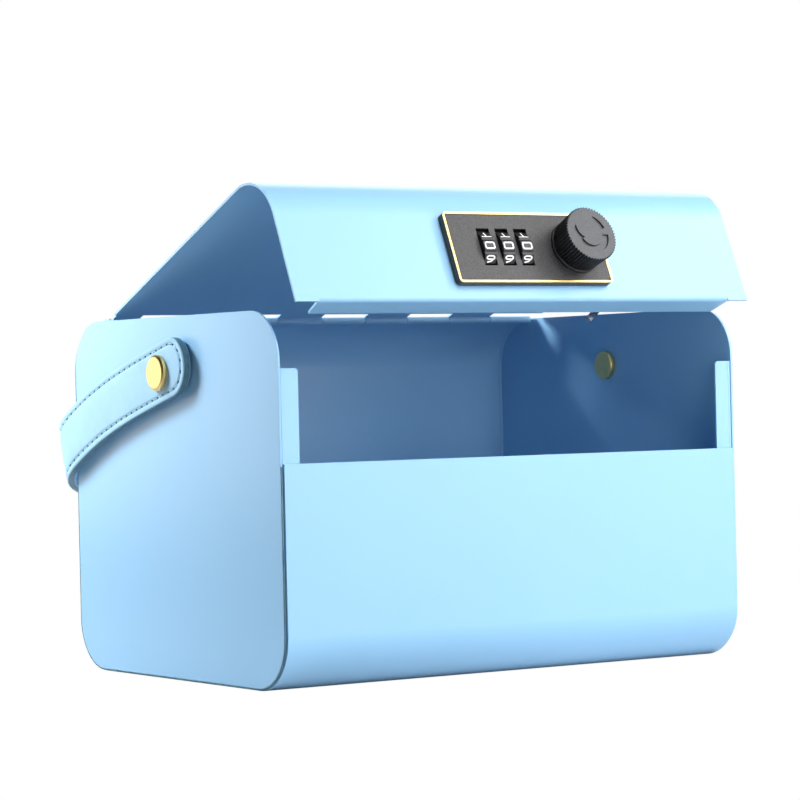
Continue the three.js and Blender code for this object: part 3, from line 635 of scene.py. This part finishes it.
def add_hole_shadow(verts, faces, share, side):
    """A dark oval laid on the leather of the seam between two stitches, painted shade standing for
    the pit of a stitch hole.
    """
    long_radius, short_radius = 0.9 * MM, 0.46 * MM
    sides = 12
    length, across = stitch_path(share)
    ahead = (Vector(stitch_path((share + 0.0002) % 1)) - Vector((length, across))).normalized()
    first = len(verts)
    for scale, rise in ((1.0, -0.3 * MM), (1.0, 0.05 * MM), (0.5, 0.05 * MM)):
        for corner in range(sides):
            turn = FULL_TURN * corner / sides
            onward = scale * long_radius * math.cos(turn)
            sideways = scale * short_radius * math.sin(turn)
            spot_length = length + ahead.x * onward - ahead.y * sideways
            spot_across = across + ahead.y * onward + ahead.x * sideways
            height = strap_height(strap_edge_distance(spot_length, spot_across)) + rise
            verts.append(strap_point(spot_length, spot_across, height, side))
    for row in range(2):
        for corner in range(sides):
            a = first + row * sides + corner
            b = first + row * sides + (corner + 1) % sides
            faces.append((a, b, b + sides, a + sides))
    faces.append(tuple(first + c for c in reversed(range(sides))))
    faces.append(tuple(first + 2 * sides + c for c in range(sides)))


build_stitches()

# Numbers on the dials, as strokes in shares of a digit's width and height
digit_strokes = [
    [[(0.12, 0), (0.88, 0), (1, 0.15), (1, 0.85), (0.88, 1), (0.12, 1), (0, 0.85), (0, 0.15),
      (0.12, 0)]],
    [[(0.5, 0.2), (0.5, 1)], [(0, 0), (1, 0)]],
    [[(0, 0.8), (0.2, 1), (0.8, 1), (1, 0.8), (1, 0.6), (0, 0), (1, 0)]],
    [[(0, 1), (1, 1), (0.5, 0.6), (0.85, 0.55), (1, 0.38), (1, 0.18), (0.8, 0), (0.2, 0),
      (0, 0.15)]],
    [[(0.72, 0), (0.72, 1), (0, 0.32), (1, 0.32)]],
    [[(0.95, 1), (0.1, 1), (0.05, 0.55), (0.8, 0.6), (1, 0.42), (1, 0.18), (0.8, 0), (0.2, 0),
      (0, 0.12)]],
    [[(0.85, 1), (0.4, 0.85), (0, 0.4), (0, 0.18), (0.2, 0), (0.8, 0), (1, 0.18), (1, 0.36),
      (0.8, 0.52), (0.15, 0.52)]],
    [[(0, 1), (1, 1), (0.4, 0)]],
    [[(0.2, 0), (0.8, 0), (1, 0.15), (1, 0.4), (0.8, 0.54), (0.2, 0.54), (0, 0.4), (0, 0.15),
      (0.2, 0)],
     [(0.2, 0.54), (0.08, 0.68), (0.08, 0.86), (0.25, 1), (0.75, 1), (0.92, 0.86), (0.92, 0.68),
      (0.8, 0.54)]],
    [[(0.15, 0), (0.6, 0.15), (1, 0.6), (1, 0.82), (0.8, 1), (0.2, 1), (0, 0.82), (0, 0.64),
      (0.2, 0.48), (0.85, 0.48)]],
]
digit_width = 4.5 * MM
narrow_share = 0.84
digit_height = 2.75 * MM
stroke_half = 0.33 * MM
print_depth = 0.05 * MM
flat_half_angle = math.radians(12.24)


def stroke_faces(points, half, verts, faces, place):
    """A flat ribbon with mitred corners along the points, with a small thickness."""
    closed = points[0] == points[-1]
    if closed:
        points = points[:-1]
    count = len(points)
    first = len(verts)
    for index, point in enumerate(points):
        here = Vector(point)
        before = Vector(points[index - 1]) if index or closed else None
        after = Vector(points[(index + 1) % count]) if index < count - 1 or closed else None
        ways = [way.normalized() for way in (
            (here - before) if before else None, (after - here) if after else None) if way]
        lefts = [Vector((-way.y, way.x)) for way in ways]
        if len(lefts) == 2:
            left = (lefts[0] + lefts[1]).normalized()
            left /= max(left.dot(lefts[0]), 0.5)
        else:
            left = lefts[0]
            here = here + ways[0] * (half * (-1 if before is None else 1) * 0.9)
        for depth in (0.0, print_depth):
            for sign in (1, -1):
                verts.append(place(here + left * (half * sign), depth))
    for index in range(count if closed else count - 1):
        a = first + 4 * index
        b = first + 4 * ((index + 1) % count)
        faces += [(a, b, b + 2, a + 2), (a + 2, b + 2, b + 3, a + 3),
                  (a + 3, b + 3, b + 1, a + 1), (a + 1, b + 1, b, a)]
    if not closed:
        last = first + 4 * (count - 1)
        faces += [(first, first + 2, first + 3, first + 1), (last, last + 1, last + 3, last + 2)]


def build_digits(index, x):
    verts, faces = [], []
    apothem = dial_radius * math.cos(flat_half_angle)
    for digit, strokes in enumerate(digit_strokes):
        angle = HALF_TURN + dial_rest_turn - digit * FULL_TURN / 10
        out = Vector((0, math.cos(angle), math.sin(angle)))
        up = Vector((0, math.sin(angle), -math.cos(angle)))
        centre = Vector((x, dial_axis_y, lock_z)) + out * apothem

        def place(point, depth):
            offset = Vector((point.x, 0, 0)) + up * point.y + out * (depth - 0.01 * MM)
            return to_open @ (centre + offset)

        width = digit_width * (1 if digit < 2 else narrow_share)
        for stroke in strokes:
            points = [((across - 0.5) * width, (rise - 0.5) * digit_height)
                      for across, rise in stroke]
            stroke_faces(points, stroke_half, verts, faces, place)
    item = new_object(f"dial_numbers_{index + 1}", verts, faces, (white_print,), smooth=False)
    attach(item, f"dial_{index + 1}")


for index, x in enumerate(dial_xs):
    build_digits(index, x)

# The knob: a toothed grip that widens a little to its face, a plain skirt, and a flat face with
# an engraved arrow for both ways of turning
knob_radius = 12.1 * MM
knob_face_radius = 12.85 * MM
knob_height = 13.3 * MM
knob_teeth = 56
tooth_depth = 0.75 * MM
knob_back_y = lock_front_y - 0.3 * MM
knob_sides = 720
skirt_radius = 12.3 * MM
face_rim = knob_face_radius - 1.3 * MM
groove_depth = 0.8 * MM
groove_wall = 0.14 * MM
# The arrow is a band with a head at both ends, by angle in degrees: the band as its middle radius
# and half width, a head as its two angles, the one of its tip, and its middle radius and half
# width from the tip to the base
arrow_band = (7.2 * MM, 1.45 * MM)
arrow_band_from, arrow_band_to = 203, 357
arrow_heads = (
    (150, 203, 150, (8.2 * MM, 7.1 * MM), (0.05 * MM, 2.8 * MM)),
    (20, 70, 70, (8.7 * MM, 6.3 * MM), (0.05 * MM, 1.9 * MM)),
)


def build_knob():
    sides = knob_sides
    # Rows as distance in front of the knob's back, radius and share of the tooth depth
    skirt = skirt_radius
    grip = (knob_radius, knob_face_radius)
    rows = [
        (0.0, 3.3 * MM, 0), (0.0, skirt - 0.3 * MM, 0), (0.1 * MM, skirt - 0.1 * MM, 0),
        (0.3 * MM, skirt, 0), (0.9 * MM, skirt, 0), (1.1 * MM, skirt - 0.1 * MM, 0),
        (1.2 * MM, skirt - 0.3 * MM, 0), (1.25 * MM, knob_radius - 0.5 * MM, 0.7),
        (1.5 * MM, knob_radius, 1), (knob_height * 0.55, mix(grip, 0.55), 1),
        (knob_height - 0.3 * MM, knob_face_radius, 1),
        (knob_height - 0.1 * MM, knob_face_radius - 0.06 * MM, 1),
        (knob_height, knob_face_radius - 0.22 * MM, 1),
        (knob_height, knob_face_radius - 0.45 * MM, 1),
    ]
    face_rows = 11
    verts, faces, slots = [], [], []

    def at(front, radius, turn):
        x, z = knob_x + radius * math.cos(turn), lock_z + radius * math.sin(turn)
        return to_open @ Vector((x, knob_back_y - front, z))

    for front, radius, share in rows:
        for side in range(sides):
            turn = FULL_TURN * side / sides
            wave = 0.5 - 0.5 * math.cos(turn * knob_teeth)
            verts.append(at(front, radius - tooth_depth * share * wave ** 0.8, turn))
    # Face rows run inward through the two walls of the groove, which follow the arrow
    for row in range(face_rows):
        for side in range(sides):
            turn = FULL_TURN * side / sides
            outer, inner, inside = arrow_edges(turn)
            radii = [
                (face_rim, 0), ((face_rim + outer) / 2, 0), (outer + groove_wall, 0), (outer, None),
                ((outer + inner) / 2, None), (inner, None), (inner - groove_wall, 0),
                (inner * 0.7, 0), (inner * 0.4, 0), (inner * 0.15, 0), (0.05 * MM, 0),
            ]
            radius, drop = radii[row]
            if drop is None:
                drop = groove_depth if inside else 0
            verts.append(at(knob_height - drop, radius, turn))
    total = len(rows) + face_rows
    for row in range(total - 1):
        for side in range(sides):
            after = (side + 1) % sides
            a, b = row * sides + side, row * sides + after
            faces.append((a, a + sides, b + sides, b))
            slots.append(1 if row >= len(rows) - 3 else 0)
    faces.append(tuple(range(sides)))
    faces.append(tuple((total - 1) * sides + side for side in reversed(range(sides))))
    slots += [0, 1]
    # The face rows take the lighter copy as painted light, the grip and skirt the darker copy as
    # painted shade
    item = new_object("knob_grip", verts, faces, (knob_side_shade, knob_face_light), slots)
    item.data.set_sharp_from_angle(angle=math.radians(40))
    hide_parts("lock_knob")
    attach(item, "knob")


def arrow_edges(turn):
    """Outer and inner radius of the engraved arrow at an angle, and whether it is cut there."""
    degrees = math.degrees(turn) % 360
    for low, high, tip, middles, halves in arrow_heads:
        if low <= degrees <= high:
            share = abs(degrees - tip) / (high - low)
            middle, half = mix(middles, share), mix(halves, share)
            return middle + half, middle - half, True
    middle, half = arrow_band
    return middle + half, middle - half, arrow_band_from < degrees < arrow_band_to


build_knob()

# A bead of painted filler runs inside along the corners where the wrap meets the side panels, and
# a dark line outside along the joint between them is painted shadow standing for the shadow gap
# there
bead_x = 118.65 * MM
bead_radius = 0.75 * MM
seam_shadow_x = 119.7 * MM
seam_shadow_radius = 0.3 * MM
corner_steps = 12


def build_tube(name, path, x, radius, material):
    sides = 10
    verts, faces = [], []
    for index, place in enumerate(path):
        before, after = path[max(index - 1, 0)], path[min(index + 1, len(path) - 1)]
        way = Vector((0, after[0] - before[0], after[1] - before[1])).normalized()
        across = Vector((0, -way.z, way.y))
        for side in range(sides):
            turn = FULL_TURN * side / sides
            offset = across * (radius * math.cos(turn))
            offset.x += radius * math.sin(turn)
            verts.append(Vector((x, place[0], place[1])) + offset)
    for row in range(len(path) - 1):
        for side in range(sides):
            a, b = row * sides + side, row * sides + (side + 1) % sides
            faces.append((a, b, b + sides, a + sides))
    faces.append(tuple(reversed(range(sides))))
    faces.append(tuple((len(path) - 1) * sides + side for side in range(sides)))
    item = new_object(name, verts, faces, (material,))
    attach(item, "case")


def corner_path(inset, start):
    """Over the top's rear corner, down the back, along the base and round to the front, at a
    distance inside the outline."""
    bend = case_corner_radius - inset
    rear, low, high = case_half_depth - inset, inset, case_height - inset
    path = list(start)
    for middle_y, middle_z, first in (
            (rear - bend, high - bend, 90), (rear - bend, low + bend, 0),
            (bend - rear, low + bend, -90)):
        for step in range(corner_steps + 1):
            turn = math.radians(first - 90 * step / corner_steps)
            path.append((middle_y + bend * math.cos(turn), middle_z + bend * math.sin(turn)))
    return path


def build_beads():
    inner = corner_path(1 * MM, [(64.3 * MM, 157.5 * MM)])[:27]
    inner.append((-62 * MM, 1 * MM))
    outer = corner_path(0.6 * MM, [])[2:]
    outer.append((-90.7 * MM, 93.5 * MM))
    for side, sign in (("left", -1), ("right", 1)):
        build_tube(f"{side}_corner_bead", inner, sign * bead_x, bead_radius, paint)
        # The right painted seam shadow stops at the base, for no dark line shows on its front edge
        shown = outer if sign < 0 else outer[:25]
        # The seam line is painted shadow, a dark tube standing for the shade in the joint
        build_tube(f"{side}_seam_shadow_line", shown, sign * seam_shadow_x, seam_shadow_radius, seam_shadow_paint)


build_beads()


# Studio: white all round for the camera, dim and brighter from behind on the right for the box
bright_side = (0.548, 0.836, 0)
dim_level, bright_level = 0.02, 0.25
floor_half, floor_dark_x, floor_pale_x, floor_dark_share = 12, -0.35, 0.05, 0.3


def build_world():
    world = bpy.data.worlds.new("white_surround")
    bpy.context.scene.world = world
    world.use_nodes = True
    tree = world.node_tree
    place = tree.nodes.new("ShaderNodeTexCoord")
    facing = tree.nodes.new("ShaderNodeVectorMath")
    facing.operation = "DOT_PRODUCT"
    facing.inputs[1].default_value = bright_side
    level = tree.nodes.new("ShaderNodeMapRange")
    level.interpolation_type = "SMOOTHSTEP"
    level.inputs["From Min"].default_value = -0.2
    level.inputs["From Max"].default_value = 0.8
    level.inputs["To Min"].default_value = dim_level
    level.inputs["To Max"].default_value = bright_level
    path = tree.nodes.new("ShaderNodeLightPath")
    strength = tree.nodes.new("ShaderNodeMix")
    strength.inputs["B"].default_value = 1.0
    background = tree.nodes["Background"]
    background.inputs["Color"].default_value = (1, 1, 1, 1)
    tree.links.new(place.outputs["Generated"], facing.inputs[0])
    tree.links.new(facing.outputs["Value"], level.inputs["Value"])
    tree.links.new(level.outputs["Result"], strength.inputs["A"])
    tree.links.new(path.outputs["Is Camera Ray"], strength.inputs["Factor"])
    tree.links.new(strength.outputs["Result"], background.inputs["Strength"])


def build_floor():
    size = floor_half
    floor = new_object(
        "floor", [(-size, -size, 0), (size, -size, 0), (size, size, 0), (-size, size, 0)],
        [(0, 1, 2, 3)], (), smooth=False)
    white = (0.74, 0.74, 0.74)
    surface = Surface("pale_floor", white, 0.9, Specular_IOR_Level=0.1)
    parts = surface.add("ShaderNodeSeparateXYZ")
    surface.link(surface.place, parts.inputs["Vector"])
    across = surface.ramp(parts.outputs["X"], 0, 1, floor_dark_x, floor_pale_x)
    surface.colors(across, shade(white, floor_dark_share), white, 0, 1)
    glow = surface.add("ShaderNodeEmission")
    path = surface.add("ShaderNodeLightPath")
    both = surface.add("ShaderNodeMixShader")
    surface.link(path.outputs["Is Camera Ray"], both.inputs["Fac"])
    surface.link(surface.shader.outputs["BSDF"], both.inputs[1])
    surface.link(glow.outputs["Emission"], both.inputs[2])
    surface.link(both.outputs["Shader"], surface.tree.nodes["Material Output"].inputs["Surface"])
    floor.data.materials.append(surface.material)


# Soft boxes, as name, place, aim, width and power
def build_lights():
    front = (0, -0.09, 0.08)
    left = (-0.12, 0, 0.1)
    for name, place, aim, width, power in (
            ("right_low", (0.85, -1.25, 0.25), front, 0.7, 5.3),
            ("over_front", (0.1, -0.7, 1.3), front, 0.6, 6.5),
            ("front", (0.1, -0.9, 0.75), front, 0.5, 7.0),
            ("front_left", (-0.15, -1.25, 0.22), front, 0.6, 4.0),
            ("flap_right", (0.35, -0.35, 0.45), (0.1, -0.1, 0.18), 0.25, 1.1),
            ("left_high", (-0.34, 0.3, 0.38), left, 0.15, 4.1),
            ("left_low", (-0.35, 0.5, 0.2), left, 0.3, 0.7),
            ("back_right", (0.8, 0.9, 0.8), (0.05, 0.05, 0.1), 0.7, 3.4)):
        light = bpy.data.lights.new(name, "AREA")
        light.size = width
        light.energy = power
        lamp = bpy.data.objects.new(name, light)
        lamp.location = place
        lamp.visible_camera = False
        # The light that stands closest would show as a white patch on the shut lid
        lamp.visible_glossy = name != "left_high"
        way = Vector(aim) - Vector(place)
        lamp.rotation_euler = way.to_track_quat("-Z", "Y").to_euler()
        bpy.context.scene.collection.objects.link(lamp)


build_world()
build_floor()
build_lights()
bpy.context.scene.view_settings.view_transform = "Standard"


def build_camera():
    """The photograph's view, found from the box's edges; the picture is square."""
    place = (-0.762007, -1.160050, 0.121357)
    yaw, pitch, roll = 0.5803982, -0.0011688, 0.0232724
    focal_pixels, picture_pixels, sensor = 3038.94, 800, 36
    ahead = Vector((
        math.sin(yaw) * math.cos(pitch), math.cos(yaw) * math.cos(pitch), math.sin(pitch)))
    right = Vector((math.cos(yaw), -math.sin(yaw), 0))
    down = ahead.cross(right)
    turned_right = right * math.cos(roll) + down * math.sin(roll)
    turned_down = down * math.cos(roll) - right * math.sin(roll)
    data = bpy.data.cameras.new("camera")
    data.sensor_width = sensor
    data.lens = focal_pixels / picture_pixels * sensor
    data.clip_start = 0.05
    data.clip_end = 100
    camera = bpy.data.objects.new("camera", data)
    axes = Matrix((turned_right, -turned_down, -ahead)).transposed()
    camera.matrix_world = Matrix.Translation(place) @ axes.to_4x4()
    bpy.context.scene.collection.objects.link(camera)
    bpy.context.scene.camera = camera


build_camera()
